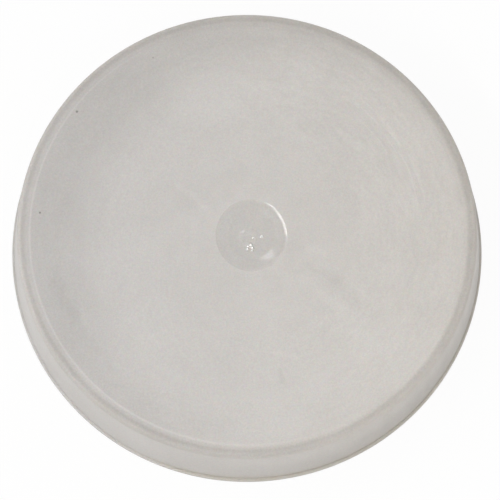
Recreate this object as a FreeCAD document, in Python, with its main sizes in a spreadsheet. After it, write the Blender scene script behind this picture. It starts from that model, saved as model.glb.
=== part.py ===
import FreeCAD, Part
import os
import Sketcher

# Push-on cap for a large glass demijohn, moulded in one shot of natural polyethylene.
# It lies open side down, as it comes off the bench: the foot of the skirt is at z = 0,
# the closing plate is on top, and Z is the axis of the cap. Sizes are in millimetres, angles in degrees.

SIZES = [
    ("neck_radius", 33.3, "inside of the skirt, just under the plate"),
    ("skirt_wall", 1.3, "skirt thickness at the plate"),
    ("outer_draft", 4.7, "flare of the skirt's outside, towards the foot"),
    ("inner_draft", 3.0, "flare of the skirt's inside, towards the foot"),
    ("cap_height", 11.5, "foot to the highest ring of the face"),
    ("plate_wall", 1.4, "thickness of the closing plate"),
    ("dish_depth", 0.45, "how far the plate has sunk at its middle"),
    ("rim_flat", 0.25, "flat ring between the sunk face and the shoulder"),
    ("hub_flat", 1.1, "flat ring of the face round the gate dimple"),
    ("shoulder_radius", 1.45, "outside round between face and skirt"),
    ("corner_bevel", 0.7, "inside bevel between plate and skirt"),
    ("lip_width", 0.33, "how far the foot lip stands proud of the skirt"),
    ("lip_height", 1.2, "height of the foot lip"),
    ("foot_bevel", 0.2, "bevels on both edges of the foot"),
    ("bead_depth", 0.6, "how far the catch bead stands in from the skirt"),
    ("bead_land", 1.1, "height of the bead's straight land"),
    ("bead_lift", 2.3, "foot to the start of the land"),
    ("bead_ramp", 0.8, "height of the ramps below and above the land"),
    ("bead_round", 0.25, "round on the bead's lead-in edge"),
    ("gate_offset", 0.7, "how far the gate and its dimple sit beside the cap's axis, along +X"),
    ("dimple_radius", 5.35, "rim of the gate dimple"),
    ("dimple_depth", 0.4, "face to the dimple's floor"),
    ("dimple_taper", 0.75, "how far the dimple narrows down to its floor"),
    ("dimple_wall", 1.15, "plastic left under and beside the dimple"),
    ("floor_round", 2.2, "wide round between the dimple's wall and floor, so that it is a bowl"),
    ("rim_round", 0.12, "round on the dimple's rim"),
    ("boss_bevel", 0.3, "bevel on the boss under the dimple"),
    ("cone_radius", 2.0, "foot of the gate cone"),
    ("cone_rise", 0.08, "height of the gate cone"),
    ("stub_radius", 0.75, "root of the torn gate stub"),
    ("tip_radius", 0.3, "tip of the torn gate stub"),
    ("stub_rise", 0.15, "height of the torn gate stub"),
    ("stub_lean", 0.55, "how far the stub's tip was pulled aside"),
]


def make_sheet(doc):
    """The spreadsheet of driving dimensions, one row for each: name, value, meaning."""
    sheet = doc.addObject("Spreadsheet::Sheet", "Sizes")
    for row, (alias, value, meaning) in enumerate(SIZES, start=1):
        sheet.set(f"A{row}", alias)
        sheet.set(f"B{row}", str(value))
        sheet.set(f"C{row}", meaning)
        sheet.setAlias(f"B{row}", alias)
    doc.recompute()
    return sheet


def origin_plane(body, role):
    """The body's own origin plane with this role."""
    return next(f for f in body.Origin.OriginFeatures if f.Role == role)


def new_sketch(body, name, role, beside="0"):
    """An empty sketch on one of the body's origin planes, with its own origin moved aside along +X."""
    sketch = body.newObject("Sketcher::SketchObject", name)
    sketch.AttachmentSupport = (origin_plane(body, role), [""])
    sketch.MapMode = "FlatFace"
    sketch.setExpression("AttachmentOffset.Base.x", beside)
    return sketch


def bind(sketch, kind, refs, name, expression):
    """A named dimension in the sketch that follows an expression on the sheet."""
    value = sketch.evalExpression(expression)
    index = sketch.addConstraint(Sketcher.Constraint(kind, *refs, value))
    sketch.renameConstraint(index, name)
    sketch.setExpression(f"Constraints.{name}", expression)


def hold_corner(sketch, geometry, end, name, across, up):
    """Holds one corner of a section: by its axis where the expression is 0, or else by a dimension."""
    if across == "0":
        sketch.addConstraint(Sketcher.Constraint("PointOnObject", geometry, end, -2))
    else:
        bind(sketch, "DistanceX", (-1, 1, geometry, end), f"{name}_x", across)
    if up == "0":
        sketch.addConstraint(Sketcher.Constraint("PointOnObject", geometry, end, -1))
    else:
        bind(sketch, "DistanceY", (-1, 1, geometry, end), f"{name}_z", up)


def section(body, name, corners, beside="0"):
    """A closed half section of straight sides on the XZ plane. Each corner is (name, distance from
    the section's own axis, height), both as expressions on the sheet."""
    sketch = new_sketch(body, name, "XZ_Plane", beside)
    points = [
        FreeCAD.Vector(sketch.evalExpression(across), sketch.evalExpression(up), 0)
        for _, across, up in corners
    ]
    for index, start in enumerate(points):
        end = points[(index + 1) % len(points)]
        sketch.addGeometry(Part.LineSegment(start, end), False)
    for index, (corner, across, up) in enumerate(corners):
        before = index - 1 if index else len(corners) - 1
        sketch.addConstraint(Sketcher.Constraint("Coincident", before, 2, index, 1))
        hold_corner(sketch, index, 1, corner, across, up)
    return sketch


def turned(body, kind, name, sketch):
    """A full turn of a section about its own axis, added to the body or cut from it."""
    feature = body.newObject(f"PartDesign::{kind}", name)
    feature.Profile = sketch
    feature.ReferenceAxis = (sketch, ["V_Axis"])
    feature.Angle = 360.0
    body.Document.recompute()
    return feature


def is_ring(edge):
    """True for an edge that is part of a circle, and not the point where a face meets the axis."""
    return not edge.Degenerated and isinstance(edge.Curve, Part.Circle)


def at_place(circle, radius, height):
    """True if a circle has this radius and lies at this height."""
    return abs(circle.Radius - radius) < 1e-4 and abs(circle.Center.z - height) < 1e-4


def ring_edges(shape, rings):
    """The names of the round edges about the axis at these (radius, height) places."""
    names = []
    for number, edge in enumerate(shape.Edges, start=1):
        if is_ring(edge) and any(at_place(edge.Curve, radius, height) for radius, height in rings):
            names.append(f"Edge{number}")
    return names


def rounded(body, name, radius, rings):
    """A fillet on the ring edges of the body's tip, with its radius bound to an expression."""
    base = body.Tip
    names = ring_edges(base.Shape, rings)
    if len(names) != len(rings):
        raise ValueError(f"{name}: {len(rings)} edges wanted, {len(names)} found")
    fillet = body.newObject("PartDesign::Fillet", name)
    fillet.Base = (base, names)
    fillet.setExpression("Radius", radius)
    body.Document.recompute()
    return fillet


def corner_of(sketch, name):
    """Where a named corner of a section lies, as (radius, height)."""
    across = sketch.getDatum(f"{name}_x").Value
    held = [c.Name for c in sketch.Constraints]
    up = sketch.getDatum(f"{name}_z").Value if f"{name}_z" in held else 0.0
    return across, up


# Expressions that more than one section uses.
OUTER = "(Sizes.neck_radius + Sizes.skirt_wall)"
LIP_TOP = f"({OUTER} + (Sizes.cap_height - Sizes.lip_height) * tan(Sizes.outer_draft * 1deg))"
LIP_EDGE = f"({LIP_TOP} + Sizes.lip_width)"
UNDERSIDE = "(Sizes.cap_height - Sizes.plate_wall)"
MIDDLE = "(Sizes.cap_height - Sizes.dish_depth)"
FLOOR = f"({MIDDLE} - Sizes.dimple_depth)"
DIMPLE_SLOPE = "(Sizes.dimple_taper / Sizes.dimple_depth)"
HUB = "(Sizes.dimple_radius + Sizes.hub_flat)"
GATE = "Sizes.gate_offset"


def inside_at(height):
    """Radius of the skirt's inner wall at a height, as an expression."""
    return f"(Sizes.neck_radius + ({UNDERSIDE} - {height}) * tan(Sizes.inner_draft * 1deg))"


def make_shell(body):
    """Closing plate, skirt and foot lip as one section: the wall keeps its own thickness all the way,
    the plate is sunk to its middle on both faces, and the skirt flares so that it draws off the core."""
    bevel_foot = f"({UNDERSIDE} - Sizes.corner_bevel)"
    shell = section(
        body,
        "shell_section",
        [
            ("face_axis", "0", MIDDLE),
            ("face_hub", HUB, MIDDLE),
            ("face_rim", f"{OUTER} - Sizes.shoulder_radius - Sizes.rim_flat", "Sizes.cap_height"),
            ("shoulder", OUTER, "Sizes.cap_height"),
            ("lip_root", LIP_TOP, "Sizes.lip_height"),
            ("lip_edge", LIP_EDGE, "Sizes.lip_height - Sizes.lip_width"),
            ("lip_foot", LIP_EDGE, "Sizes.foot_bevel"),
            ("foot_outside", f"{LIP_EDGE} - Sizes.foot_bevel", "0"),
            ("foot_inside", f"{inside_at('Sizes.foot_bevel')} + Sizes.foot_bevel", "0"),
            ("skirt_foot", inside_at("Sizes.foot_bevel"), "Sizes.foot_bevel"),
            ("corner_low", inside_at(bevel_foot), bevel_foot),
            ("corner_high", "Sizes.neck_radius - Sizes.corner_bevel", UNDERSIDE),
            ("under_hub", HUB, f"{MIDDLE} - Sizes.plate_wall"),
            ("under_axis", "0", f"{MIDDLE} - Sizes.plate_wall"),
        ],
    )
    turned(body, "Revolution", "shell", shell)
    rounded(body, "shoulder_round", "Sizes.shoulder_radius", [corner_of(shell, "shoulder")])


def make_catch_bead(body):
    """The ring that clicks under the glass collar: a lead-in ramp, a straight land and a back ramp,
    rooted half a wall deep in the skirt."""
    root = "Sizes.neck_radius + 0.5 * Sizes.skirt_wall"
    ramp_foot = "(Sizes.bead_lift - Sizes.bead_ramp)"
    land_top = "(Sizes.bead_lift + Sizes.bead_land)"
    ramp_top = f"({land_top} + Sizes.bead_ramp)"
    bead = section(
        body,
        "bead_section",
        [
            ("root_low", root, ramp_foot),
            ("ramp_low", inside_at(ramp_foot), ramp_foot),
            ("land_low", "Sizes.neck_radius - Sizes.bead_depth", "Sizes.bead_lift"),
            ("land_high", "Sizes.neck_radius - Sizes.bead_depth", land_top),
            ("ramp_high", inside_at(ramp_top), ramp_top),
            ("root_high", root, ramp_top),
        ],
    )
    turned(body, "Revolution", "catch_bead", bead)
    rounded(body, "bead_round", "Sizes.bead_round", [corner_of(bead, "land_low")])


def make_gate_dimple(body):
    """The sunk place of the moulding gate: a boss under the plate keeps the wall at full thickness,
    and the dimple is cut into it from above, so that the torn gate stays below the face."""
    boss_foot = f"({FLOOR} - Sizes.dimple_wall)"
    boss_radius = "(Sizes.dimple_radius - Sizes.dimple_taper + Sizes.dimple_wall)"
    boss_bevel_top = f"({boss_foot} + Sizes.boss_bevel)"
    boss_head = f"({MIDDLE} - 0.5 * Sizes.plate_wall)"
    boss_flare = f"({boss_radius} + ({boss_head} - {boss_foot}) * {DIMPLE_SLOPE})"
    boss = section(
        body,
        "boss_section",
        [
            ("boss_axis", "0", boss_foot),
            ("boss_foot", f"{boss_radius} - Sizes.boss_bevel", boss_foot),
            ("boss_side", f"{boss_radius} + Sizes.boss_bevel * {DIMPLE_SLOPE}", boss_bevel_top),
            ("boss_head", boss_flare, boss_head),
            ("boss_top", "0", boss_head),
        ],
        beside=GATE,
    )
    turned(body, "Revolution", "dimple_boss", boss)
    before = body.Tip.Shape.Volume
    dimple = section(
        body,
        "dimple_section",
        [
            ("floor_axis", "0", FLOOR),
            ("floor", "Sizes.dimple_radius - Sizes.dimple_taper", FLOOR),
            ("mouth", f"Sizes.dimple_radius + Sizes.dish_depth * {DIMPLE_SLOPE}", "Sizes.cap_height"),
            ("mouth_axis", "0", "Sizes.cap_height"),
        ],
        beside=GATE,
    )
    turned(body, "Groove", "gate_dimple", dimple)
    if body.Tip.Shape.Volume >= before:
        raise ValueError("the gate dimple cut nothing")
    rounded(body, "floor_round", "Sizes.floor_round", [corner_of(dimple, "floor")])
    rim = (body.evalExpression("Sizes.dimple_radius"), body.evalExpression(MIDDLE))
    rounded(body, "rim_round", "Sizes.rim_round", [rim])


def level_circle(body, name, radius, height, aside):
    """A circle at a height above the foot, with its centre on the gate's axis or moved aside along -Y."""
    sketch = new_sketch(body, name, "XY_Plane", beside=GATE)
    sketch.setExpression("AttachmentOffset.Base.z", height)
    centre = FreeCAD.Vector(0, -sketch.evalExpression(aside), 0)
    circle = Part.Circle(centre, FreeCAD.Vector(0, 0, 1), sketch.evalExpression(radius))
    sketch.addGeometry(circle, False)
    sketch.addConstraint(Sketcher.Constraint("PointOnObject", 0, 3, -2))
    if aside == "0":
        sketch.addConstraint(Sketcher.Constraint("PointOnObject", 0, 3, -1))
    else:
        bind(sketch, "DistanceY", (0, 3, -1, 1), "aside", aside)
    bind(sketch, "Radius", (0,), "radius", radius)
    return sketch


def make_gate_stub(body):
    """What the nozzle leaves on the dimple's floor: a low cone and a stub that was torn off to one side."""
    root = f"({FLOOR} - 0.5 * Sizes.dimple_wall)"
    cone_top = f"({FLOOR} + Sizes.cone_rise)"
    cone = section(
        body,
        "cone_section",
        [
            ("root_axis", "0", root),
            ("root", "Sizes.cone_radius", root),
            ("cone_foot", "Sizes.cone_radius", FLOOR),
            ("cone_top", "Sizes.stub_radius", cone_top),
            ("cone_axis", "0", cone_top),
        ],
        beside=GATE,
    )
    turned(body, "Revolution", "gate_cone", cone)
    stub_foot = f"{FLOOR} + 0.5 * Sizes.cone_rise"
    stub_top = f"{cone_top} + Sizes.stub_rise"
    root_ring = level_circle(body, "stub_root", "Sizes.stub_radius", stub_foot, "0")
    tip_ring = level_circle(body, "stub_tip", "Sizes.tip_radius", stub_top, "Sizes.stub_lean")
    stub = body.newObject("PartDesign::AdditiveLoft", "gate_stub")
    stub.Profile = root_ring
    stub.Sections = [tip_ring]
    body.Document.recompute()


def check_objects(doc):
    """Stops if any object of the document failed to build."""
    for item in doc.Objects:
        if "Invalid" in item.State or "Error" in item.State:
            raise ValueError(f"{item.Name} did not build: {item.State}")


def main():
    doc = FreeCAD.newDocument("demijohn_cap")
    make_sheet(doc)
    body = doc.addObject("PartDesign::Body", "demijohn_cap")
    body.Label = "demijohn_cap"
    make_shell(body)
    make_catch_bead(body)
    make_gate_dimple(body)
    make_gate_stub(body)
    body.Placement = FreeCAD.Placement()
    doc.recompute()
    check_objects(doc)
    shape = body.Shape
    if shape.isNull() or not shape.isValid() or len(shape.Solids) != 1:
        raise ValueError("the cap is not one valid solid")
    os.makedirs("parts", exist_ok=True)
    shape.exportStep(f"parts/{body.Label}.step")
    box = shape.optimalBoundingBox()
    print(f"{body.Label}: {box.XLength:.2f} x {box.YLength:.2f} x {box.ZLength:.2f} mm, {shape.Volume:.0f} mm3")


main()
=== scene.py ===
# %% [markdown]
# A push-on cap for a large glass demijohn, lying open side down on a pale table.
# The real cap is one moulding of soft, uncoloured polyethylene: a round plate, a short skirt with a
# small lip at its foot, and a shallow dimple where the plastic was shot into the mould.
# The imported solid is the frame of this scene. It gives the place and the outer size, and everything
# below is built inside its box.

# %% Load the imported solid
import math

import bmesh
import bpy
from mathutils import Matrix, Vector


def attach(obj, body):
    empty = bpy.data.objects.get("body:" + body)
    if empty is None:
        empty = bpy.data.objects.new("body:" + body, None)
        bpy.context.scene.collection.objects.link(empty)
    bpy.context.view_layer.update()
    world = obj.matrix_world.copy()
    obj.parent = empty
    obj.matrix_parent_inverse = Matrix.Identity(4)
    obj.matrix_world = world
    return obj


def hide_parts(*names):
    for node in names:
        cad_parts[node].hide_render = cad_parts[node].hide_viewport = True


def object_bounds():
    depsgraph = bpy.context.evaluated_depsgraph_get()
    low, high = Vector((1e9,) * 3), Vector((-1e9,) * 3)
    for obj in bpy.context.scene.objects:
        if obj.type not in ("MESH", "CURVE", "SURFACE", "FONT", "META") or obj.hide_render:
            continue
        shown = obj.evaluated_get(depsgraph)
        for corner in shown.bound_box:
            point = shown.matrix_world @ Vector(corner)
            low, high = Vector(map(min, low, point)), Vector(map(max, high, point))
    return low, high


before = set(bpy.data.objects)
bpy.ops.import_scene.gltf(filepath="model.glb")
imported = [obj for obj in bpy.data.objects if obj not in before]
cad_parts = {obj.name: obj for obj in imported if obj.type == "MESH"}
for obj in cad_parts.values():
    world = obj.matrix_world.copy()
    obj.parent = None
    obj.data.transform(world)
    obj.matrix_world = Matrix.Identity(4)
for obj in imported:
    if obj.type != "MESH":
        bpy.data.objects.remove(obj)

MM = 0.001
cad_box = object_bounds()
cap_height = cad_box[1].z / MM
foot_radius = cad_box[1].x / MM
print(f"packed solid: {2 * foot_radius:.2f} mm across, {cap_height:.2f} mm high")

# %% [markdown]
# The section is the drawing that a toolmaker would turn the mould from: the closing plate and the skirt
# are one wall of nearly even thickness. It could be modelled as a disc with extruded rings, but a turned
# part is easier to draw as half a section, with a round named at each corner. All sizes are in
# millimetres. The skirt flares by its draft, so that the cap slides off the mould.

# %% Sizes of the section
plate_wall = 1.4
skirt_wall = 1.3
outer_draft = math.radians(4.7)
inner_draft = math.radians(3.0)
lip_width = 0.33
lip_height = 1.2
shoulder_width = 1.45
dish_depth = 0.45
hub_radius = 6.3
bead_depth = 0.6
bead_low = 2.3
bead_land = 1.1
bead_ramp = 0.8
dimple_radius = 5.35
dimple_depth = 0.467
dimple_wall = 1.15
torn_radius = 2.9

lip_root = foot_radius - lip_width
shoulder_radius = lip_root - (cap_height - lip_height) * math.tan(outer_draft)
neck_radius = shoulder_radius - skirt_wall
underside = cap_height - plate_wall
middle = cap_height - dish_depth
dimple_floor = middle - dimple_depth
face_rim = shoulder_radius - shoulder_width
face_edge = face_rim - 0.6
print(f"inside of the skirt: {2 * neck_radius:.1f} mm across, under a plate of {plate_wall} mm")


# %% Helpers for the section
def inside(height):
    """Radius of the skirt's inner wall at a height."""
    return neck_radius + (underside - height) * math.tan(inner_draft)


def dished(near, far, low, rise, steps=10):
    """Points of a shallow dish between two radii: flat at the hub, steepest at the rim."""
    shares = [step / steps for step in range(1, steps)]
    return [(near + share * (far - near), low + share**2 * rise, 0.0) for share in shares]


def curl(near, low, width, first_tilt, last_tilt, steps):
    """Inner points of an arc that curls up over a width, from one tilt in degrees to another."""
    start = math.radians(first_tilt)
    turn = math.radians(last_tilt) - start
    arc_radius = width / (math.sin(start + turn) - math.sin(start))
    tilts = [start + turn * step / steps for step in range(1, steps + 1)]
    points = []
    for tilt in tilts:
        across = arc_radius * (math.sin(tilt) - math.sin(start))
        up = arc_radius * (math.cos(start) - math.cos(tilt))
        points.append((near + across, low + up, 0.0))
    return points


def supported(corners):
    """Adds a plain point on both sides of each rounded corner, so that the shading of a long straight
    side isn't bent by the small round at its end."""
    points = []
    for index, (radius, height, corner_round) in enumerate(corners):
        here = Vector((radius, height))
        sides = []
        for near in (index - 1, index + 1):
            if corner_round and 0 <= near < len(corners):
                away = Vector(corners[near][:2]) - here
                reach = min(1.35 * corner_round, 0.45 * away.length)
                sides.append((*(here + away.normalized() * reach), 0.0))
            else:
                sides.append(None)
        points += [side for side in (sides[0], (radius, height, corner_round), sides[1]) if side]
    return points


# %% The dimple: a flat floor with close rows for the torn gate, then a bowl that steepens to its rim
torn_rows = 56

# Each arc of the bowl: where it starts, its height over the floor, its width, the tilts in degrees at
# its two ends, and the number of its points.
BOWL = [
    (3.25, 0.0, 0.25, 0.0, 5.5, 4),
    (3.5, 0.012, 0.1, 5.5, 9.0, 3),
    (3.6, 0.025, 1.1, 9.0, 10.2, 4),
    (4.7, 0.211, 0.3, 10.2, 23.2, 5),
    (5.0, 0.302, 0.3, 23.2, 26.2, 7),
]
dimple = [(torn_radius * row / torn_rows, dimple_floor, 0.0) for row in range(torn_rows + 1)]
dimple.append((3.2, dimple_floor, 0.0))
for near, rise, width, first_tilt, last_tilt, steps in BOWL:
    dimple += curl(near, dimple_floor + rise, width, first_tilt, last_tilt, steps)
dimple.append((dimple_radius, middle, 0.04))
print(f"dimple: {len(dimple)} points over {dimple_radius} mm")

# %% The outside: the dished face, the shoulder, the skirt and the lip
face = [
    (hub_radius, middle, 0.0),
    *dished(hub_radius, face_edge - 0.3, middle, dish_depth),
    (face_edge - 0.3, cap_height, 0.0),
]
outside = [
    (face_edge, cap_height, 0.4),
    (face_edge + 0.75, cap_height - 0.06, 0.5),
    (shoulder_radius + 0.01, cap_height - 0.16, 1.35),
    (lip_root, lip_height, 0.12),
    (foot_radius, lip_height - lip_width, 0.15),
    (foot_radius, 0.0, 0.15),
]

# %% The inside: the catch bead, and the underside of the plate with the boss of the gate
bead_top = bead_low + bead_land + bead_ramp
inner_side = [
    (inside(0.0), 0.0, 0.2),
    (inside(bead_low - bead_ramp), bead_low - bead_ramp, 0.3),
    (neck_radius - bead_depth, bead_low, 0.25),
    (neck_radius - bead_depth, bead_low + bead_land, 0.2),
    (inside(bead_top), bead_top, 0.3),
    (neck_radius, underside, 0.7),
]
under_hub = middle - plate_wall
under_face = dished(hub_radius + 0.6, neck_radius - 1.0, under_hub, dish_depth)
underneath = [
    (neck_radius - 1.0, underside, 0.0),
    *reversed(under_face),
    (dimple_radius + 0.7, under_hub, 0.3),
    (dimple_radius - 0.3, dimple_floor - dimple_wall, 0.3),
    (0.0, dimple_floor - dimple_wall, 0.0),
]
section = supported(dimple + face + outside + inner_side + underneath)
print(f"half section, from the top pole round to the bottom pole: {len(section)} points")

# %% [markdown]
# Turning the section is a job for Geometry Nodes: one short tree rounds each corner by its own amount,
# turns the outline about the axis, closes the two poles, and then does what a lathe can't. It moves the
# gate's dimple a little beside the axis and to the front, makes it a hair longer that way, and lets the
# plate sink unevenly, as thin plastic does when it cools. Screw or Spin would turn the section too, but
# their sizes would not be inputs. The tree's inputs are what somebody would want to change.

# %% Sizes that the tree works with
# All in millimetres, but for the stretch. The shift of the dimple fades out at gate_fade, and the sink
# fades from sink_fade to just inside the rim. Its waves are sink_size wide.
gate_offset = 0.7
gate_forward = 0.18
gate_stretch = 1.045
gate_fade = 24.0
sink_depth = 0.03
sink_fade = 20.0
sink_size = 22.0


# %% A helper that adds one node with its settings and links
def add_node(tree, kind, inputs=None, **settings):
    """A node of this kind. Each input is a value or the output socket that feeds it."""
    node = tree.nodes.new(kind)
    for name, value in settings.items():
        setattr(node, name, value)
    for name, value in (inputs or {}).items():
        if isinstance(value, bpy.types.NodeSocket):
            tree.links.new(value, node.inputs[name])
        else:
            node.inputs[name].default_value = value
    return node


# %% The section as a wire, with the round of each corner as an attribute
def section_wire(points):
    """A line of edges in the XZ plane through the section's points."""
    mesh = bpy.data.meshes.new("cap_section")
    vertices = [(radius * MM, 0.0, height * MM) for radius, height, _ in points]
    mesh.from_pydata(vertices, [(i, i + 1) for i in range(len(points) - 1)], [])
    rounds = mesh.attributes.new("corner_round", "FLOAT", "POINT")
    rounds.data.foreach_set("value", [corner_round * MM for _, _, corner_round in points])
    return mesh


turned_cap = bpy.data.objects.new("turned_cap", section_wire(section))
bpy.context.scene.collection.objects.link(turned_cap)


# %% The inputs of the tree
def new_input(tree, name, kind, value=None):
    """A named input of the tree, with its default."""
    socket = tree.interface.new_socket(name=name, in_out="INPUT", socket_type=kind)
    if value is not None:
        socket.default_value = value
    return socket.identifier


turning = bpy.data.node_groups.new("turn_the_cap", "GeometryNodeTree")
turning.interface.new_socket(name="Cap", in_out="OUTPUT", socket_type="NodeSocketGeometry")
handles = {
    "Section": new_input(turning, "Section", "NodeSocketGeometry"),
    "Steps round": new_input(turning, "Steps round", "NodeSocketInt", 384),
    "Steps in a corner": new_input(turning, "Steps in a corner", "NodeSocketInt", 8),
    "Gate offset": new_input(turning, "Gate offset", "NodeSocketFloat", gate_offset * MM),
    "Gate forward": new_input(turning, "Gate forward", "NodeSocketFloat", gate_forward * MM),
    "Gate stretch": new_input(turning, "Gate stretch", "NodeSocketFloat", gate_stretch),
    "Sink": new_input(turning, "Sink", "NodeSocketFloat", sink_depth * MM),
    "Plastic": new_input(turning, "Plastic", "NodeSocketMaterial"),
}


# %% Nodes that round the corners and turn the section
def turned_section(tree, given):
    """The section with its corners rounded, turned about the axis and closed at both poles."""
    wire = add_node(tree, "GeometryNodeMeshToCurve", {"Mesh": given["Section"]})
    amount = add_node(
        tree, "GeometryNodeInputNamedAttribute", {"Name": "corner_round"}, data_type="FLOAT"
    )
    corners = {
        "Curve": wire.outputs[0],
        "Count": given["Steps in a corner"],
        "Radius": amount.outputs[0],
        "Limit Radius": True,
    }
    rounded = add_node(tree, "GeometryNodeFilletCurve", corners, mode="POLY")
    # The circle may have any radius: the section is moved in by the same, so its ends lie on the axis.
    turn_radius = 20 * MM
    laid_down = add_node(
        tree,
        "GeometryNodeTransform",
        {
            "Geometry": rounded.outputs[0],
            "Translation": (-turn_radius, 0, 0),
            "Rotation": (math.radians(90), 0, 0),
        },
    )
    circle = add_node(
        tree,
        "GeometryNodeCurvePrimitiveCircle",
        {"Resolution": given["Steps round"], "Radius": turn_radius},
        mode="RADIUS",
    )
    path = add_node(tree, "GeometryNodeSetCurveNormal", {"Curve": circle.outputs[0]}, mode="Z_UP")
    swept = add_node(
        tree,
        "GeometryNodeCurveToMesh",
        {"Curve": path.outputs[0], "Profile Curve": laid_down.outputs[0]},
    )
    closed = add_node(
        tree, "GeometryNodeMergeByDistance", {"Geometry": swept.outputs[0], "Distance": 0.001 * MM}
    )
    return closed.outputs[0]


# %% Nodes that move the dimple
def dimple_shift(tree, given, place, radius):
    """How far each point near the gate moves along X and along Y."""
    fade = {"From Min": hub_radius * MM, "From Max": gate_fade * MM, "To Min": 1.0, "To Max": 0.0}
    near_gate = add_node(
        tree, "ShaderNodeMapRange", {"Value": radius, **fade}, interpolation_type="SMOOTHSTEP"
    ).outputs[0]
    aside = add_node(
        tree, "ShaderNodeMath", {0: near_gate, 1: given["Gate offset"]}, operation="MULTIPLY"
    )
    back = add_node(tree, "ShaderNodeSeparateXYZ", {0: place}).outputs["Y"]
    longer = add_node(tree, "ShaderNodeMath", {0: given["Gate stretch"], 1: 1.0}, operation="SUBTRACT")
    stretched = add_node(tree, "ShaderNodeMath", {0: back, 1: longer.outputs[0]}, operation="MULTIPLY")
    nearer = add_node(
        tree, "ShaderNodeMath", {0: stretched.outputs[0], 1: given["Gate forward"]}, operation="SUBTRACT"
    )
    forward = add_node(
        tree, "ShaderNodeMath", {0: nearer.outputs[0], 1: near_gate}, operation="MULTIPLY"
    )
    return aside.outputs[0], forward.outputs[0]


# %% Nodes that let the plate sink
def plate_sink(tree, given, flat, radius):
    """How far each point of the plate moves along Z: slow waves that fade out before the rim."""
    fade = {"From Min": sink_fade * MM, "From Max": (face_edge - 1.0) * MM, "To Min": 1.0, "To Max": 0.0}
    on_plate = add_node(
        tree, "ShaderNodeMapRange", {"Value": radius, **fade}, interpolation_type="SMOOTHSTEP"
    ).outputs[0]
    waves = add_node(
        tree, "ShaderNodeTexNoise", {"Vector": flat, "Scale": 1 / (sink_size * MM), "Detail": 1.0}
    )
    dip = add_node(tree, "ShaderNodeMath", {0: waves.outputs[0], 1: on_plate}, operation="MULTIPLY")
    down = add_node(tree, "ShaderNodeMath", {0: given["Sink"], 1: -1.0}, operation="MULTIPLY")
    drop = add_node(tree, "ShaderNodeMath", {0: dip.outputs[0], 1: down.outputs[0]}, operation="MULTIPLY")
    return drop.outputs[0]


# %% The whole tree
def build_turning(tree):
    """Turns the section, moves the gate aside, lets the plate sink and gives the plastic."""
    given = add_node(tree, "NodeGroupInput").outputs
    closed = turned_section(tree, given)
    place = add_node(tree, "GeometryNodeInputPosition").outputs[0]
    flat = add_node(tree, "ShaderNodeVectorMath", {0: place, 1: (1, 1, 0)}, operation="MULTIPLY").outputs[0]
    radius = add_node(tree, "ShaderNodeVectorMath", {0: flat}, operation="LENGTH").outputs["Value"]
    aside, forward = dimple_shift(tree, given, place, radius)
    drop = plate_sink(tree, given, flat, radius)
    shift = add_node(tree, "ShaderNodeCombineXYZ", {"X": aside, "Y": forward, "Z": drop})
    moved = add_node(tree, "GeometryNodeSetPosition", {"Geometry": closed, "Offset": shift.outputs[0]})
    shaded = add_node(tree, "GeometryNodeSetShadeSmooth", {0: moved.outputs[0]})
    real = add_node(tree, "GeometryNodeRealizeInstances", {0: shaded.outputs[0]})
    finished = add_node(
        tree, "GeometryNodeSetMaterial", {"Geometry": real.outputs[0], "Material": given["Plastic"]}
    )
    add_node(tree, "NodeGroupOutput", {0: finished.outputs[0]})


build_turning(turning)
print(f"turning tree: {len(turning.nodes)} nodes, {len(handles)} inputs")

# %% [markdown]
# The plastic is natural low-density polyethylene, injection moulded and then used. Without pigment it is
# milky: light goes in, scatters in the crystals and comes out a few millimetres away. To the eye that is
# a soft glow in the plate and no hard shadow anywhere. A plain white surface would look like card, so
# the Principled shader scatters all its light under the surface, with the plastic's own IOR of 1.51. All
# that happened to the surface, and the light and shade painted into it, is one number, its tone, from
# dull to milky. Each mark has a mask, a weight, and a middle value that is taken off first, so that the
# plain tone stays where it is. So one mark can be made stronger without touching another.

# %% Colours and finish of the plastic
DULL = "#8f8b85"
MILKY = "#e2deda"
PLAIN_TONE = 0.714
PLASTIC_IOR = 1.51
MATTE_ROUGHNESS = 0.5
POLISHED_ROUGHNESS = 0.1
# Light goes this deep in millimetres, and red goes a little deeper than blue.
SCATTER_DEPTH = 2.5
SCATTER_SHARES = (1.0, 0.92, 0.84)
# Casts multiply the colour, so a 1 changes nothing.
COOL_CAST = (0.992, 1.0, 1.018, 1.0)
WARM_CAST = (1.006, 1.0, 0.985, 1.0)
BROWN_CAST = (1.03, 1.0, 0.925, 1.0)


def linear(hex_colour):
    """A linear RGBA colour from an sRGB hex value."""
    channels = [int(hex_colour[i : i + 2], 16) / 255 for i in (1, 3, 5)]
    return tuple(c / 12.92 if c <= 0.04045 else ((c + 0.055) / 1.055) ** 2.4 for c in channels) + (1.0,)


# %% Where a mark lies on the cap
# This end is past every radius and height of the cap in metres, and past every cosine.
NO_END = 2.0


def between(tree, value, start, end, soft, within=1.0):
    """A mask between two limits of a value, with soft edges. It can lie within another mask."""
    rise = add_node(
        tree,
        "ShaderNodeMapRange",
        {"Value": value, "From Min": start - soft, "From Max": start + soft, "To Max": within},
        interpolation_type="SMOOTHSTEP",
    )
    fall = add_node(
        tree,
        "ShaderNodeMapRange",
        {"Value": value, "From Min": end - soft, "From Max": end + soft, "To Min": 1.0, "To Max": 0.0},
        interpolation_type="SMOOTHSTEP",
    )
    return add_node(
        tree, "ShaderNodeMath", {0: rise.outputs[0], 1: fall.outputs[0]}, operation="MULTIPLY"
    ).outputs[0]


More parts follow.
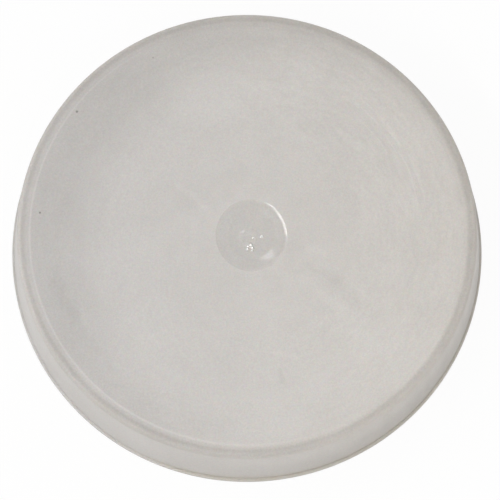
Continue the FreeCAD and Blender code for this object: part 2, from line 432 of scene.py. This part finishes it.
def cap_places(tree):
    """The sockets that say where a point of the cap lies, from its axis and from the gate's."""
    place = add_node(tree, "ShaderNodeTexCoord").outputs["Object"]
    height = add_node(tree, "ShaderNodeSeparateXYZ", {0: place}).outputs["Z"]
    flat = add_node(tree, "ShaderNodeVectorMath", {0: place, 1: (1, 1, 0)}, operation="MULTIPLY").outputs[0]
    gate = (gate_offset * MM, -gate_forward * MM, 0)
    away = add_node(tree, "ShaderNodeVectorMath", {0: flat, 1: gate}, operation="SUBTRACT").outputs[0]
    around = add_node(
        tree, "ShaderNodeVectorMath", {0: away, 1: (1, 1 / gate_stretch, 1)}, operation="MULTIPLY"
    ).outputs[0]
    at = {"place": place, "height": height, "flat": flat}
    for length, way, spot in (("radius", "outward", flat), ("from_gate", "gate_outward", around)):
        at[length] = add_node(tree, "ShaderNodeVectorMath", {0: spot}, operation="LENGTH").outputs["Value"]
        at[way] = add_node(tree, "ShaderNodeVectorMath", {0: spot}, operation="NORMALIZE").outputs[0]
    return at


# %% Masks that keep to one side or to the plate
def facing(tree, at, azimuth, start, soft, mask, way="outward"):
    """Keeps a mask where the cap faces an azimuth in degrees: start and soft are cosines."""
    azimuth = math.radians(azimuth)
    side = add_node(
        tree,
        "ShaderNodeVectorMath",
        {0: at[way], 1: (math.cos(azimuth), math.sin(azimuth), 0)},
        operation="DOT_PRODUCT",
    )
    return between(tree, side.outputs["Value"], start, NO_END, soft, mask)


def on_face(tree, at, mask):
    """Keeps a mask on the outside of the plate."""
    return between(tree, at["height"], (cap_height - 0.9) * MM, NO_END, 0.2 * MM, mask)


# %% Coordinates that follow the turning
def along_arcs(tree, at, width, turn):
    """Coordinates that draw a noise out along arcs about the axis. One unit is this width in
    millimetres across the arcs, and the whole round is 2 pi times this turn."""
    steps = add_node(tree, "ShaderNodeMath", {0: at["radius"], 1: width * MM}, operation="DIVIDE")
    around = add_node(tree, "ShaderNodeVectorMath", {0: at["outward"], "Scale": turn}, operation="SCALE")
    split = add_node(tree, "ShaderNodeSeparateXYZ", {0: around.outputs[0]}).outputs
    arcs = {"X": split["X"], "Y": split["Y"], "Z": steps.outputs[0]}
    return add_node(tree, "ShaderNodeCombineXYZ", arcs).outputs[0]


# %% [markdown]
# What the melt and the mould left: cloudy patches where the plastic cooled unevenly, swirls drawn out
# about the axis, the grain of the mould and the fine arcs of its turning. They could be painted on, but
# a noise in the cap's own coordinates has no seam and any sharpness. The grain of a real mould is only a
# few hundredths of a millimetre, so it is drawn as coarse as the picture needs to show it.

# %% Marks of the melt and the mould
CLOUD_SIZE = 11.0
GRAIN_SIZE = 0.24


def melt_clouds(tree, at):
    """Cloudy patches a centimetre across, where the melt cooled unevenly."""
    clouds = {"Scale": 1 / (CLOUD_SIZE * MM), "Detail": 4.0, "Roughness": 0.62, "Distortion": 0.6}
    return add_node(tree, "ShaderNodeTexNoise", {"Vector": at["place"], **clouds}).outputs["Fac"]


def swirls(tree, at):
    """Clouds drawn out along arcs about the axis, as the melt spread and the mould's turning left."""
    arcs = along_arcs(tree, at, 2.2, 3.2)
    clouds = {"Scale": 1.0, "Detail": 5.0, "Roughness": 0.62, "Distortion": 0.5}
    return add_node(tree, "ShaderNodeTexNoise", {"Vector": arcs, **clouds}).outputs["Fac"]


def matte_grain(tree, at):
    """The fine grain of a worn mould, drawn as coarse as it shows."""
    grain = {"Scale": 1 / (GRAIN_SIZE * MM), "Detail": 2.0, "Roughness": 0.7}
    return add_node(tree, "ShaderNodeTexNoise", {"Vector": at["place"], **grain}).outputs["Fac"]


def turning_marks(tree, at):
    """Fine arcs about the axis that the mould's turning left, on one side of the plate."""
    arcs = along_arcs(tree, at, 0.5, 4.0)
    lines = add_node(tree, "ShaderNodeTexNoise", {"Vector": arcs, "Scale": 1.0, "Detail": 2.0})
    thin = between(tree, lines.outputs["Fac"], 0.58, NO_END, 0.06)
    rings = between(tree, at["radius"], 24.2 * MM, 27.6 * MM, 0.7 * MM, thin)
    return facing(tree, at, 30, 0.93, 0.06, rings)


def melt_marks(tree, at):
    """Each mark of the melt and the mould, with its weight and its middle value."""
    return [
        (melt_clouds(tree, at), 0.16, 0.5),
        (swirls(tree, at), 0.13, 0.5),
        (matte_grain(tree, at), 0.36, 0.5),
        (turning_marks(tree, at), 0.08, 0.0),
    ]


# %% [markdown]
# What use left, and what is painted light on the plate: short scuffs follow the turning, things were
# dragged over it, and a few specks of dirt stick to it. The plate is painted lighter at the front right and
# darker in a crescent from the left round to the back, and a thin pale line is painted along its left edge
# as a highlight of the window. Scratches are often an image laid over a surface. Here each drag is a line
# between two points, bent a little by a noise, because only these few are seen and each has its place.

# %% Painted light across the plate, a painted rim highlight, and scuffs
def painted_light_across_plate(tree, at):
    """Painted light and shade across the plate: lighter towards the front right, darker in a crescent from
    the left round to the back.
    """
    aside = (6.5 * MM, -2.5 * MM, 0)
    away = add_node(tree, "ShaderNodeVectorMath", {0: at["flat"], 1: aside}, operation="DISTANCE")
    inner = between(tree, away.outputs["Value"], -MM, 31 * MM, 5.5 * MM)
    corner = between(tree, at["radius"], face_rim * MM, NO_END, 0.3 * MM)
    painted_lit_zone = add_node(tree, "ShaderNodeMath", {0: inner, 1: corner}, operation="MAXIMUM")
    gain = (0.008 / MM, -0.007 / MM, 0)
    slope = add_node(tree, "ShaderNodeVectorMath", {0: at["flat"], 1: gain}, operation="DOT_PRODUCT")
    return add_node(
        tree, "ShaderNodeMath", {0: painted_lit_zone.outputs[0], 1: slope.outputs["Value"]}, operation="ADD"
    ).outputs[0]


def painted_rim_highlight(tree, at):
    """A thin pale line painted along the edge of the plate on the left half, as a highlight of the window.
    """
    line = between(tree, at["radius"], (face_edge + 0.02) * MM, (face_edge + 0.3) * MM, 0.12 * MM)
    top = between(tree, at["height"], (cap_height - 0.5) * MM, NO_END, 0.1 * MM, line)
    return facing(tree, at, 199.9, 0.25, 0.5, top)


def rough_side(tree, at):
    """Short scuffs that follow the turning, over the right half of the plate and its top."""
    arcs = along_arcs(tree, at, 0.62, 13.0)
    short = {"Scale": 1.0, "Detail": 3.0, "Roughness": 0.6, "Distortion": 0.4}
    scuffs = add_node(tree, "ShaderNodeTexNoise", {"Vector": arcs, **short})
    level = add_node(tree, "ShaderNodeMath", {0: scuffs.outputs["Fac"], 1: 0.5}, operation="SUBTRACT")
    outer = between(tree, at["radius"], 17 * MM, NO_END, 7 * MM, level.outputs[0])
    return facing(tree, at, 15, 0.1, 0.5, outer)


# %% Streaks where something was dragged over the plate
# Each streak: its start, its end and its width in millimetres, and how light or dark it is.
STREAKS = [
    (8.9, -4.7, 13.4, -7.8, 1.0, -0.035),
    (13.6, -7.6, 19.3, -13.6, 2.6, -0.035),
    (8.3, -6.6, 15.2, -12.6, 1.5, 0.04),
    (17.5, 23.0, 25.5, 14.5, 6.0, 0.035),
    (-7.0, 23.5, 8.0, 24.5, 8.0, 0.04),
    (11.0, -22.0, 21.0, -15.0, 7.0, 0.035),
    (9.3, -2.2, 11.2, -3.2, 1.2, 0.05),
    (12.8, -5.2, 17.8, -9.4, 1.0, 0.03),
    (-10.2, 7.9, -6.0, 4.0, 0.7, 0.05),
    (-7.9, 3.6, -7.7, -1.8, 1.2, 0.025),
    (14.2, 15.6, 17.2, 13.4, 1.0, 0.05),
    (5.0, -21.4, 5.6, -22.6, 0.8, -0.07),
    (4.7, -18.4, 7.4, -19.0, 0.9, 0.05),
    (-28.6, -7.6, -26.3, -12.4, 1.8, -0.05),
    (-26.3, -12.4, -22.8, -18.0, 1.2, -0.035),
]
WOBBLE_SIZE = 2.2
WOBBLE_REACH = 2.4


def wobbled(tree, at):
    """Places on the plate, shifted a little by a noise, so that no streak is a straight line."""
    wobble = add_node(
        tree, "ShaderNodeTexNoise", {"Vector": at["flat"], "Scale": 1 / (WOBBLE_SIZE * MM), "Detail": 3.0}
    )
    level = (0.5, 0.5, 0.5)
    shift = add_node(
        tree, "ShaderNodeVectorMath", {0: wobble.outputs["Color"], 1: level}, operation="SUBTRACT"
    )
    reach = (WOBBLE_REACH * MM, WOBBLE_REACH * MM, 0)
    moved = {0: shift.outputs[0], 1: reach, 2: at["flat"]}
    return add_node(tree, "ShaderNodeVectorMath", moved, operation="MULTIPLY_ADD").outputs[0]


# %% One streak, and their sum
def streak_mask(tree, place, start, end, width):
    """A mask along the line between two points of the plate."""
    along = end - start
    step = along / along.length_squared
    from_start = add_node(
        tree, "ShaderNodeVectorMath", {0: place, 1: start}, operation="SUBTRACT"
    ).outputs[0]
    share = add_node(tree, "ShaderNodeVectorMath", {0: from_start, 1: step}, operation="DOT_PRODUCT")
    held = add_node(tree, "ShaderNodeClamp", {"Value": share.outputs["Value"]})
    nearest = add_node(
        tree, "ShaderNodeVectorMath", {0: along, "Scale": held.outputs[0]}, operation="SCALE"
    )
    away = add_node(
        tree, "ShaderNodeVectorMath", {0: from_start, 1: nearest.outputs[0]}, operation="DISTANCE"
    )
    return between(tree, away.outputs["Value"], -MM, 0.5 * width, 0.45 * width)


def streaks(tree, at):
    """All the streaks of the plate, light and dark, as one sum."""
    place = wobbled(tree, at)
    total = 0.0
    for start_x, start_y, end_x, end_y, width, strength in STREAKS:
        start = Vector((start_x, start_y, 0)) * MM
        end = Vector((end_x, end_y, 0)) * MM
        mask = streak_mask(tree, place, start, end, width * MM)
        summed = {0: mask, 1: strength, 2: total}
        total = add_node(tree, "ShaderNodeMath", summed, operation="MULTIPLY_ADD").outputs[0]
    return on_face(tree, at, total)


# %% Specks of dirt
# Each speck: its place on the plate and its radius in millimetres, and how dark it is.
SPECKS = [(-25.74, 19.07, 0.17, 0.75), (-31.16, 3.19, 0.15, 0.7), (-14.27, 27.64, 0.12, 0.4)]


def dirt_specks(tree, at):
    """Dark specks that are stuck to the plate, near its edge."""
    total = 0.0
    for x, y, size, strength in SPECKS:
        spot = add_node(
            tree, "ShaderNodeVectorMath", {0: at["flat"], 1: (x * MM, y * MM, 0)}, operation="DISTANCE"
        )
        mask = between(tree, spot.outputs["Value"], -MM, size * MM, 0.5 * size * MM)
        summed = {0: mask, 1: strength, 2: total}
        total = add_node(tree, "ShaderNodeMath", summed, operation="MULTIPLY_ADD").outputs[0]
    return on_face(tree, at, total)


def use_marks_and_painted_light(tree, at):
    """Each mark of use, and the painted light and highlight of the plate, with its weight and its middle
    value.
    """
    return [
        # The first two are painted light and shade of the plate, the rest are marks of use.
        (painted_light_across_plate(tree, at), 0.14, 0.8),
        (painted_rim_highlight(tree, at), 0.12, 0.0),
        (rough_side(tree, at), 0.2, 0.0),
        (streaks(tree, at), 1.0, 0.0),
        (dirt_specks(tree, at), -1.0, 0.0),
    ]


# %% [markdown]
# The corner stands over the skirt, so less light comes through it: that shade is painted, darker all
# round, at the back, and most at the front left where the window falls. The skirt has a painted glow at
# the front right, as light from the hollow. The foot is painted darker towards the bottom, with a painted
# contact shadow at its edge and painted shade in the crease over the lip. The dimple is sheltered from wear
# and keeps its polish, and its left wall is painted lighter against its shade. Refraction through the real
# wall could do some of this, but it takes many more samples than the scattering does.

# %% Painted shade of the shoulder
def painted_shoulder_shade(tree, at):
    """Painted shade of the corner between plate and skirt: darker all round, at the back, and most at the
    front left under the window.
    """
    over_skirt = between(tree, at["radius"], (face_rim + 0.1) * MM, NO_END, 0.32 * MM)
    rim = between(tree, at["radius"], (face_rim + 0.35) * MM, NO_END, 0.25 * MM)
    shoulder = between(tree, at["height"], (cap_height - 0.8) * MM, NO_END, 0.7 * MM, rim)
    wide_rim = between(tree, at["radius"], (face_rim - 0.5) * MM, NO_END, 0.7 * MM)
    far_rim = facing(tree, at, 70, 0.2, 0.5, wide_rim)
    upper_rim = between(tree, at["radius"], face_rim * MM, (face_rim + 0.75) * MM, 0.25 * MM)
    front_shoulder = facing(tree, at, 245, 0.8, 0.15, upper_rim)
    lower_rim = between(tree, at["radius"], (shoulder_radius - 0.5) * MM, NO_END, 0.25 * MM)
    corner = between(tree, at["height"], (cap_height - 0.7) * MM, NO_END, 0.5 * MM, lower_rim)
    shade_on_lit_shoulder = facing(tree, at, 250, 0.77, 0.17, corner)
    # Every mask here is painted shade.
    return [
        (over_skirt, -0.18, 0.0),
        (shoulder, -0.085, 0.0),
        (far_rim, -0.05, 0.0),
        (front_shoulder, -0.06, 0.0),
        (shade_on_lit_shoulder, -0.13, 0.0),
    ]


# %% Painted light and shade of the skirt and the foot
def painted_skirt_light_and_shade(tree, at):
    """A painted glow on the skirt at the front right, painted shade towards the foot, a painted contact
    shadow at its edge, and painted shade in the crease.
    """
    soft_wall = between(tree, at["radius"], (shoulder_radius - 0.05) * MM, NO_END, 0.15 * MM)
    upper_skirt = between(tree, at["height"], 7.2 * MM, NO_END, 3.0 * MM, soft_wall)
    painted_glow_right_skirt = facing(tree, at, -45, 0.75, 0.3, upper_skirt)
    foot_shade = between(tree, at["height"], -6 * MM, 5 * MM, 3.8 * MM)
    outer_wall = between(tree, at["radius"], (shoulder_radius + 0.1) * MM, NO_END, 0.1 * MM)
    contact_shadow_line = between(tree, at["height"], -MM, 0.35 * MM, 0.15 * MM, outer_wall)
    crease_low = (lip_height - 0.2) * MM
    crease_high = (lip_height + 0.25) * MM
    crease = between(tree, at["height"], crease_low, crease_high, 0.25 * MM, outer_wall)
    painted_crease_shade = facing(tree, at, -60, 0.6, 0.3, crease)
    # The glow is painted light, and the other three masks are painted shade.
    return [
        (painted_glow_right_skirt, 0.13, 0.0),
        (foot_shade, -0.07, 0.0),
        (contact_shadow_line, -0.15, 0.0),
        (painted_crease_shade, -0.12, 0.0),
    ]


# %% The dimple's polish, and painted light on its left wall
def polished_dimple(tree, at):
    """A mask of the dimple, a hair wider than its rim."""
    return between(tree, at["from_gate"], -MM, (dimple_radius + 0.06) * MM, 0.06 * MM)


def dimple_polish_and_painted_light(tree, at, polished):
    """The polished dimple is a little darker, and its left wall is painted lighter against its shade."""
    wall = between(tree, at["from_gate"], 3.55 * MM, (dimple_radius - 0.1) * MM, 0.2 * MM)
    painted_light_left_wall = facing(tree, at, 190, 0.45, 0.5, wall, "gate_outward")
    # The left wall is painted lighter against the shade it falls into.
    return [(polished, -0.055, 0.0), (painted_light_left_wall, 0.065, 0.0)]


# %% The tone and the colour
TINT_SIZE = 0.4


def plastic_tone(tree, at, polished):
    """The tone of the plastic at a point: the plain tone plus each mark, painted light and shade too, by
    its own weight.
    """
    marks = melt_marks(tree, at) + use_marks_and_painted_light(tree, at)
    marks += painted_shoulder_shade(tree, at) + painted_skirt_light_and_shade(tree, at) + dimple_polish_and_painted_light(tree, at, polished)
    tone = PLAIN_TONE - sum(weight * middle_value for _, weight, middle_value in marks)
    for mark, weight, _ in marks:
        summed = {0: mark, 1: weight, 2: tone}
        tone = add_node(tree, "ShaderNodeMath", summed, operation="MULTIPLY_ADD").outputs[0]
    return tone


def cast(tree, at):
    """A slight cast: cool at the left, warm at the right, and browner low on the foot at the front right.
    """
    across = add_node(tree, "ShaderNodeSeparateXYZ", {0: at["place"]}).outputs["X"]
    share = add_node(
        tree, "ShaderNodeMapRange", {"Value": across, "From Min": -30 * MM, "From Max": 30 * MM}
    )
    sides = {"Factor": share.outputs[0], "A": COOL_CAST, "B": WARM_CAST}
    side = add_node(tree, "ShaderNodeMix", sides, data_type="RGBA")
    foot = facing(tree, at, -60, 0.6, 0.3, between(tree, at["height"], -MM, 1.6 * MM, 1.4 * MM))
    browner_foot = {"Factor": foot, "A": side.outputs["Result"], "B": BROWN_CAST}
    return add_node(tree, "ShaderNodeMix", browner_foot, data_type="RGBA").outputs["Result"]


def plastic_colour(tree, at, polished):
    """The colour of the plastic: its tone between dull and milky, faint tints, and the cast."""
    tone = {"Factor": plastic_tone(tree, at, polished), "A": linear(DULL), "B": linear(MILKY)}
    plain = add_node(tree, "ShaderNodeMix", tone, data_type="RGBA")
    tints = add_node(
        tree, "ShaderNodeTexNoise", {"Vector": at["place"], "Scale": 1 / (TINT_SIZE * MM), "Detail": 2.0}
    )
    faint = {0: tints.outputs["Color"], 1: (0.18, 0.18, 0.18), 2: (0.91, 0.91, 0.91)}
    tint = add_node(tree, "ShaderNodeVectorMath", faint, operation="MULTIPLY_ADD")
    both = {0: plain.outputs["Result"], 1: tint.outputs[0]}
    tinted = add_node(tree, "ShaderNodeVectorMath", both, operation="MULTIPLY")
    return add_node(
        tree, "ShaderNodeVectorMath", {0: tinted.outputs[0], 1: cast(tree, at)}, operation="MULTIPLY"
    ).outputs[0]


# %% The relief of the grain
RELIEF_SIZE = 0.3
RELIEF_DEPTH = 0.02


def grain_relief(tree, at, polished):
    """The normal of the plastic: a grain, drawn as coarse as it shows, but none in the dimple."""
    grain = {"Scale": 1 / (RELIEF_SIZE * MM), "Detail": 3.0, "Roughness": 0.65}
    height = add_node(tree, "ShaderNodeTexNoise", {"Vector": at["place"], **grain}).outputs["Fac"]
    rough_part = add_node(tree, "ShaderNodeMath", {0: 1.0, 1: polished}, operation="SUBTRACT")
    relief = add_node(
        tree, "ShaderNodeMath", {0: height, 1: rough_part.outputs[0]}, operation="MULTIPLY"
    )
    bump = {"Strength": 0.35, "Distance": RELIEF_DEPTH * MM, "Height": relief.outputs[0]}
    return add_node(tree, "ShaderNodeBump", bump).outputs[0]


# %% The polyethylene
def make_polyethylene():
    """Natural low-density polyethylene as moulded."""
    material = bpy.data.materials.new("natural_low_density_polyethylene")
    material.use_nodes = True
    tree = material.node_tree
    tree.nodes.clear()
    at = cap_places(tree)
    polished = polished_dimple(tree, at)
    gloss = {"Factor": polished, "A": MATTE_ROUGHNESS, "B": POLISHED_ROUGHNESS}
    shader = add_node(
        tree,
        "ShaderNodeBsdfPrincipled",
        {
            "Base Color": plastic_colour(tree, at, polished),
            "Roughness": add_node(tree, "ShaderNodeMix", gloss, data_type="FLOAT").outputs["Result"],
            "Normal": grain_relief(tree, at, polished),
            "IOR": PLASTIC_IOR,
            "Subsurface Weight": 1.0,
            "Subsurface Radius": SCATTER_SHARES,
            "Subsurface Scale": SCATTER_DEPTH * MM,
        },
    )
    add_node(tree, "ShaderNodeOutputMaterial", {"Surface": shader.outputs[0]})
    return material


polyethylene = make_polyethylene()
print(f"material: {polyethylene.name}, {len(polyethylene.node_tree.nodes)} nodes")


# %% Turn the cap and keep the result as a plain mesh
def bake_modifier(piece, tree, values):
    """Runs a node tree on a piece and leaves its result as the piece's own mesh."""
    modifier = piece.modifiers.new("nodes", "NODES")
    modifier.node_group = tree
    for identifier, value in values.items():
        modifier[identifier] = value
    graph = bpy.context.evaluated_depsgraph_get()
    result = bpy.data.meshes.new_from_object(piece.evaluated_get(graph))
    piece.modifiers.remove(modifier)
    result.name = piece.name
    piece.data = result


bake_modifier(turned_cap, turning, {handles["Plastic"]: polyethylene})

# %% [markdown]
# When the cap was pulled off the nozzle, the gate tore. What is left on the floor of the dimple is a low
# disc with a wrinkle, a lump that lies over to one side, and small torn facets that catch the light of
# the window. A bump map would glint too, but only real facets keep their shape from every side, and the
# rows of the mesh are close together here. The facets all lean halfway between the window and the
# camera, because only such facets show.

# %% Sizes of the torn gate
# Each facet: across and up from the axis of the dimple, radius, and height of the middle, in millimetres.
GATE_FACETS = [
    (-0.30, -1.97, 0.22, 0.13),
    (-0.62, -1.88, 0.21, 0.16),
    (-0.15, -1.66, 0.25, 0.18),
    (-0.62, -2.28, 0.20, 0.15),
    (0.07, -2.09, 0.19, 0.15),
    (0.03, -2.53, 0.18, 0.14),
    (0.20, -0.50, 0.15, 0.08),
    (1.54, -0.34, 0.23, 0.10),
    (-1.38, -0.62, 0.11, 0.05),
    (-1.18, -0.80, 0.09, 0.05),
]
FACET_SLOPE = (0.318, 0.343)
# The reach of a facet and its soft edge are shares of its radius.
FACET_REACH = 1.25
FACET_EDGE = 0.35
LUMP = (-0.28, -1.95)
LUMP_RADIUS = 0.9
LUMP_RISE = 0.1
DISC = (-0.38, -0.85)
DISC_RADIUS = 1.95
DISC_EDGE = 0.6
DISC_RISE = 0.05
WRINKLE_RADIUS = 1.0
WRINKLE_WIDTH = 0.15
WRINKLE_RISE = 0.02


# %% The torn gate
def smooth(share):
    """A smooth step from 0 to 1, level at both ends."""
    share = min(max(share, 0.0), 1.0)
    return share * share * (3 - 2 * share)


def torn_height(x, y):
    """Height of the torn gate above the dimple's floor, in millimetres."""
    from_disc = math.hypot(x - DISC[0], y - DISC[1])
    height = DISC_RISE * smooth((DISC_RADIUS - from_disc) / DISC_EDGE)
    height += WRINKLE_RISE * smooth(1 - abs(from_disc - WRINKLE_RADIUS) / WRINKLE_WIDTH)
    height += LUMP_RISE * smooth(1 - math.hypot(x - LUMP[0], y - LUMP[1]) / LUMP_RADIUS)
    for across, up, radius, rise in GATE_FACETS:
        right = x - across
        back = y - up
        top = rise + FACET_SLOPE[0] * right + FACET_SLOPE[1] * back
        inside_facet = smooth((FACET_REACH - math.hypot(right, back) / radius) / FACET_EDGE)
        height += (DISC_RISE + top - height) * inside_facet
    return height


def tear_gate(mesh):
    """Raises the floor of the dimple, and not the boss under it, to the torn gate."""
    just_under_floor = (dimple_floor - 0.02) * MM
    for vertex in mesh.vertices:
        x = vertex.co.x / MM - gate_offset
        y = vertex.co.y / MM
        if vertex.co.z > just_under_floor and math.hypot(x, y) < torn_radius:
            vertex.co.z += torn_height(x, y) * MM


tear_gate(turned_cap.data)

# %% Measure the cap
measured = bmesh.new()
measured.from_mesh(turned_cap.data)
open_edges = sum(1 for edge in measured.edges if not edge.is_manifold)
print(f"turned cap: {len(measured.faces)} faces, {open_edges} open edges,")
print(f"{measured.calc_volume(signed=True) / MM**3:.0f} cubic millimetres")
measured.free()

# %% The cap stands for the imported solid
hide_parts("demijohn_cap")
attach(turned_cap, "root")

# %% [markdown]
# The cap lies on a plain pale table. The camera sees the table and the room as one white ground, with
# only a soft shadow round the foot, while the cap is lit by the real grey of the room. An image of a
# room could light it, but two values do the same: the level of the room, and the white in the table.

# %% The white table
WHITE = (1.0, 1.0, 1.0, 1.0)
TABLE = "#f4f3f1"
WHITE_SHARE = 0.94


def seen_directly(tree):
    """1 for what is seen, also in a reflection or through the plastic, and 0 for diffuse light."""
    path = add_node(tree, "ShaderNodeLightPath").outputs
    seen = add_node(
        tree, "ShaderNodeMath", {0: path["Is Camera Ray"], 1: path["Is Glossy Ray"]}, operation="MAXIMUM"
    )
    return add_node(
        tree, "ShaderNodeMath", {0: seen.outputs[0], 1: path["Is Transmission Ray"]}, operation="MAXIMUM"
    ).outputs[0]


def make_white_table():
    """A painted table top: matt, pale, and nearly as white as the room where it is looked at."""
    material = bpy.data.materials.new("white_table")
    material.use_nodes = True
    tree = material.node_tree
    tree.nodes.clear()
    share = add_node(
        tree, "ShaderNodeMath", {0: seen_directly(tree), 1: WHITE_SHARE}, operation="MULTIPLY"
    )
    lit = add_node(tree, "ShaderNodeBsdfDiffuse", {"Color": linear(TABLE)})
    white = add_node(tree, "ShaderNodeEmission", {"Color": WHITE, "Strength": 1.0})
    mixed = add_node(
        tree, "ShaderNodeMixShader", {0: share.outputs[0], 1: lit.outputs[0], 2: white.outputs[0]}
    )
    add_node(tree, "ShaderNodeOutputMaterial", {"Surface": mixed.outputs[0]})
    return material


# %% The floor
FLOOR_REACH = 2.0


def make_floor():
    """A wide pale table top under the cap."""
    mesh = bpy.data.meshes.new("floor")
    corners = [(x * FLOOR_REACH, y * FLOOR_REACH, 0) for x, y in ((-1, -1), (1, -1), (1, 1), (-1, 1))]
    mesh.from_pydata(corners, [], [(0, 1, 2, 3)])
    mesh.materials.append(make_white_table())
    floor = bpy.data.objects.new("floor", mesh)
    bpy.context.scene.collection.objects.link(floor)
    return floor


make_floor()

# %% The room's even light
ROOM_LEVEL = 0.67


def make_room():
    """A grey room, seen as white by the camera."""
    world = bpy.data.worlds.new("room")
    bpy.context.scene.world = world
    world.use_nodes = True
    tree = world.node_tree
    tree.nodes.clear()
    room = add_node(tree, "ShaderNodeBackground", {"Color": WHITE, "Strength": ROOM_LEVEL})
    white = add_node(tree, "ShaderNodeBackground", {"Color": WHITE, "Strength": 1.0})
    mixed = add_node(
        tree, "ShaderNodeMixShader", {0: seen_directly(tree), 1: room.outputs[0], 2: white.outputs[0]}
    )
    add_node(tree, "ShaderNodeOutputWorld", {"Surface": mixed.outputs[0]})


make_room()
print(f"room: level {ROOM_LEVEL}, and the table is {WHITE_SHARE:.0%} white to the camera")

# %% [markdown]
# The light comes from a long low window at the front left. Its reflection is the bright arc in the far
# wall of the dimple, so its height and place were read from that arc: a curved wall mirrors a lamp only
# where it leans halfway between lamp and camera. A small second window adds the fainter patch in the
# near wall. An area lamp is soft like a window, and its size is what makes the arc narrow or wide.


# %% The windows
def make_lamp(name, share, azimuth, elevation, distance, width, height):
    """A soft lamp that gives this share of plain level to a level surface under it."""
    data = bpy.data.lights.new(name, "AREA")
    data.shape = "RECTANGLE"
    data.size = width
    data.size_y = height
    azimuth = math.radians(azimuth)
    elevation = math.radians(elevation)
    data.energy = share * math.pi**2 * distance**2 / math.sin(elevation)
    lamp = bpy.data.objects.new(name, data)
    across = math.cos(elevation)
    away = Vector((math.cos(azimuth) * across, math.sin(azimuth) * across, math.sin(elevation)))
    lamp.location = away * distance
    lamp.rotation_euler = away.to_track_quat("Z", "Y").to_euler()
    bpy.context.scene.collection.objects.link(lamp)
    print(f"{name}: {data.energy:.2f} W, {width * 1000:.0f} by {height * 1000:.0f} mm")


make_lamp("window", share=0.41, azimuth=211, elevation=50, distance=0.6, width=1.0, height=0.055)
make_lamp("far_window", share=0.015, azimuth=109, elevation=62, distance=0.7, width=0.09, height=0.08)

# %% [markdown]
# The camera looks nearly straight down. The rim of the face is an ellipse in the photograph: the ratio
# of its axes gives the elevation, and its centre and width give the aim and the focal length.

# %% Camera
IMAGE_SIZE = 500
CAMERA_ELEVATION = math.radians(74.79)
CAMERA_DISTANCE = 0.75
PIXELS_FOR_FACE = 440.8
# The aim is this far to the right of the middle of the face, and this far up, in millimetres.
AIM_RIGHT = 0.466
AIM_UP = -2.552

back = Vector((0, -math.cos(CAMERA_ELEVATION), math.sin(CAMERA_ELEVATION)))
image_up = Vector((0, math.sin(CAMERA_ELEVATION), math.cos(CAMERA_ELEVATION)))
image_right = Vector((1, 0, 0))
aim = Vector((0, 0, cap_height)) + image_right * AIM_RIGHT + image_up * AIM_UP
face_width = 2 * face_rim * MM

camera_data = bpy.data.cameras.new("camera")
camera_data.sensor_width = 36
camera_data.lens = PIXELS_FOR_FACE / IMAGE_SIZE * camera_data.sensor_width * CAMERA_DISTANCE / face_width
camera = bpy.data.objects.new("camera", camera_data)
camera.location = aim * MM + back * CAMERA_DISTANCE
camera.rotation_euler = back.to_track_quat("Z", "Y").to_euler()
bpy.context.scene.collection.objects.link(camera)
bpy.context.scene.camera = camera
print(f"camera: {math.degrees(CAMERA_ELEVATION):.1f} degrees up, lens {camera_data.lens:.0f} mm")

# %% View settings
bpy.context.scene.view_settings.view_transform = "Standard"
